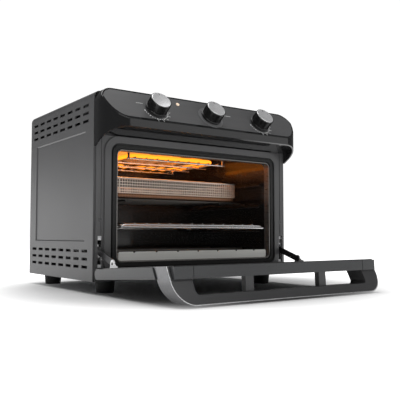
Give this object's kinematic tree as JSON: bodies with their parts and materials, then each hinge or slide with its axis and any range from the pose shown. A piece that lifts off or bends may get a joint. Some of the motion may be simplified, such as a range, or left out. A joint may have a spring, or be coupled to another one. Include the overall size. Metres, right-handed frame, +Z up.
{
  "type": "air fryer oven",
  "caption": "Countertop air fryer oven with a drop-down glass door, U-shaped handle, three dials on a sloping hood, wire rack, basket on its carrier and louvred sides.",
  "frame": {"origin": "on the counter, under the middle of the oven's box with its door open", "axes": "+X towards the right side as seen from the front, +Y towards the back, +Z up"},
  "size_m": [0.39, 0.5093, 0.3135],
  "materials": {
    "case_paint": "satin",
    "zinc_sheet": "satin",
    "rubber": "matte",
    "gasket_rubber": "matte",
    "screw_steel": "satin",
    "frame_paint": "satin",
    "plated_steel": "satin",
    "cavity_enamel": "gloss",
    "hot_element": "satin",
    "element_sheath": "satin",
    "chromed_wire": "gloss",
    "motor_steel": "satin",
    "unit_plastic": "matte",
    "gloss_black": "gloss",
    "panel_satin": "satin",
    "satin_aluminium": "satin",
    "lamp_glow": "gloss",
    "door_black": "satin",
    "dark_glass": "gloss",
    "clear_glass": "gloss",
    "handle_black": "satin",
    "dark_wire": "gloss",
    "dark_pan": "satin",
    "basket_steel": "satin",
    "tray_aluminium": "satin",
    "knob_black": "satin"
  },
  "bodies": {
    "oven": {"outer_shell": "case_paint", "back_panel": "case_paint", "cord_gland": "rubber", "back_screws": "screw_steel", "base_plate": "zinc_sheet", "feet": "rubber", "foot_screws": "screw_steel", "front_frame": "frame_paint", "hinge_bracket_right": "plated_steel", "hinge_bracket_left": "plated_steel", "door_gasket": "gasket_rubber", "cavity_mouth": "cavity_enamel", "cavity_side_right": "cavity_enamel", "cavity_side_left": "cavity_enamel", "cavity_top": "cavity_enamel", "cavity_floor": "cavity_enamel", "cavity_back": "cavity_enamel", "upper_element": "hot_element", "element_guard": "chromed_wire", "lower_elements": "element_sheath", "fan_housing": "zinc_sheet", "fan_motor": "motor_steel", "terminal_block": "unit_plastic", "control_hood": "gloss_black", "control_panel": "panel_satin", "dial_ring": "satin_aluminium", "pilot_lamp": "lamp_glow", "timer_clockwork": "unit_plastic", "thermostat": "unit_plastic", "function_switch": "unit_plastic"},
    "fan": {"fan_shaft": "plated_steel", "fan_blade": "zinc_sheet"},
    "timer_dial": {"timer_knob": "knob_black", "timer_knob_cap": "satin_aluminium", "timer_shaft": "plated_steel"},
    "temperature_dial": {"temperature_knob": "knob_black", "temperature_knob_cap": "satin_aluminium", "temperature_shaft": "plated_steel"},
    "function_dial": {"function_knob": "knob_black", "function_knob_cap": "satin_aluminium", "function_shaft": "plated_steel"},
    "door": {"door_frame": "door_black", "door_inner_panel": "door_black", "door_glass_outer": "dark_glass", "door_glass_inner": "clear_glass", "glass_spacer": "gasket_rubber", "door_handle": "handle_black", "handle_trim": "satin_aluminium", "handle_posts": "handle_black", "hinge_pins": "plated_steel", "arm_lugs": "plated_steel"},
    "right_arm": {"link_arm_right": "plated_steel"},
    "left_arm": {"link_arm_left": "plated_steel"},
    "rack": {"wire_rack": "chromed_wire"},
    "carrier": {"basket_carrier": "dark_wire", "drip_pan": "dark_pan"},
    "basket": {"fry_basket": "basket_steel", "basket_rim": "basket_steel"},
    "crumbs": {"crumb_tray": "tray_aluminium"}
  },
  "joints": [
    {"name": "door_hinge", "type": "hinge", "parent": "oven", "child": "door", "pos_m": [0, -0.042, 0.031], "axis": [-1, 0, 0], "range_deg": [0, 86.5]},
    {"name": "right_arm_pivot", "type": "hinge", "parent": "door", "child": "right_arm", "pos_m": [0.184, -0.07405, 0.04749], "axis": [-1, 0, 0], "range_deg": [-86.5, 0]},
    {"name": "left_arm_pivot", "type": "hinge", "parent": "door", "child": "left_arm", "pos_m": [-0.184, -0.07405, 0.04749], "axis": [-1, 0, 0], "range_deg": [-86.5, 0]},
    {"name": "timer_turn", "type": "hinge", "parent": "oven", "child": "timer_dial", "pos_m": [-0.106, -0.06122, 0.28307], "axis": [0, -0.795, 0.6066], "range_deg": [-300, 0]},
    {"name": "temperature_turn", "type": "hinge", "parent": "oven", "child": "temperature_dial", "pos_m": [0, -0.06122, 0.28307], "axis": [0, -0.795, 0.6066], "range_deg": [-270, 0]},
    {"name": "function_turn", "type": "hinge", "parent": "oven", "child": "function_dial", "pos_m": [0.106, -0.06122, 0.28307], "axis": [0, -0.795, 0.6066], "range_deg": [-180, 0]},
    {"name": "fan_spin", "type": "hinge", "parent": "oven", "child": "fan", "pos_m": [0, 0.12, 0.241], "axis": [0, 0, 1], "continuous": true},
    {"name": "rack_slide", "type": "slide", "parent": "oven", "child": "rack", "axis": [0, 1, 0], "range_m": [-0.18, 0]},
    {"name": "carrier_slide", "type": "slide", "parent": "oven", "child": "carrier", "axis": [0, 1, 0], "range_m": [-0.18, 0]},
    {"name": "basket_lift", "type": "slide", "parent": "carrier", "child": "basket", "axis": [0, 0, 1], "range_m": [0, 0.02]},
    {"name": "crumb_tray_slide", "type": "slide", "parent": "oven", "child": "crumbs", "axis": [0, 1, 0], "range_m": [-0.12, 0]}
  ],
  "couplings": [
    {"joint": "right_arm_pivot", "follows": "door_hinge", "ratio": -1},
    {"joint": "left_arm_pivot", "follows": "door_hinge", "ratio": -1}
  ]
}
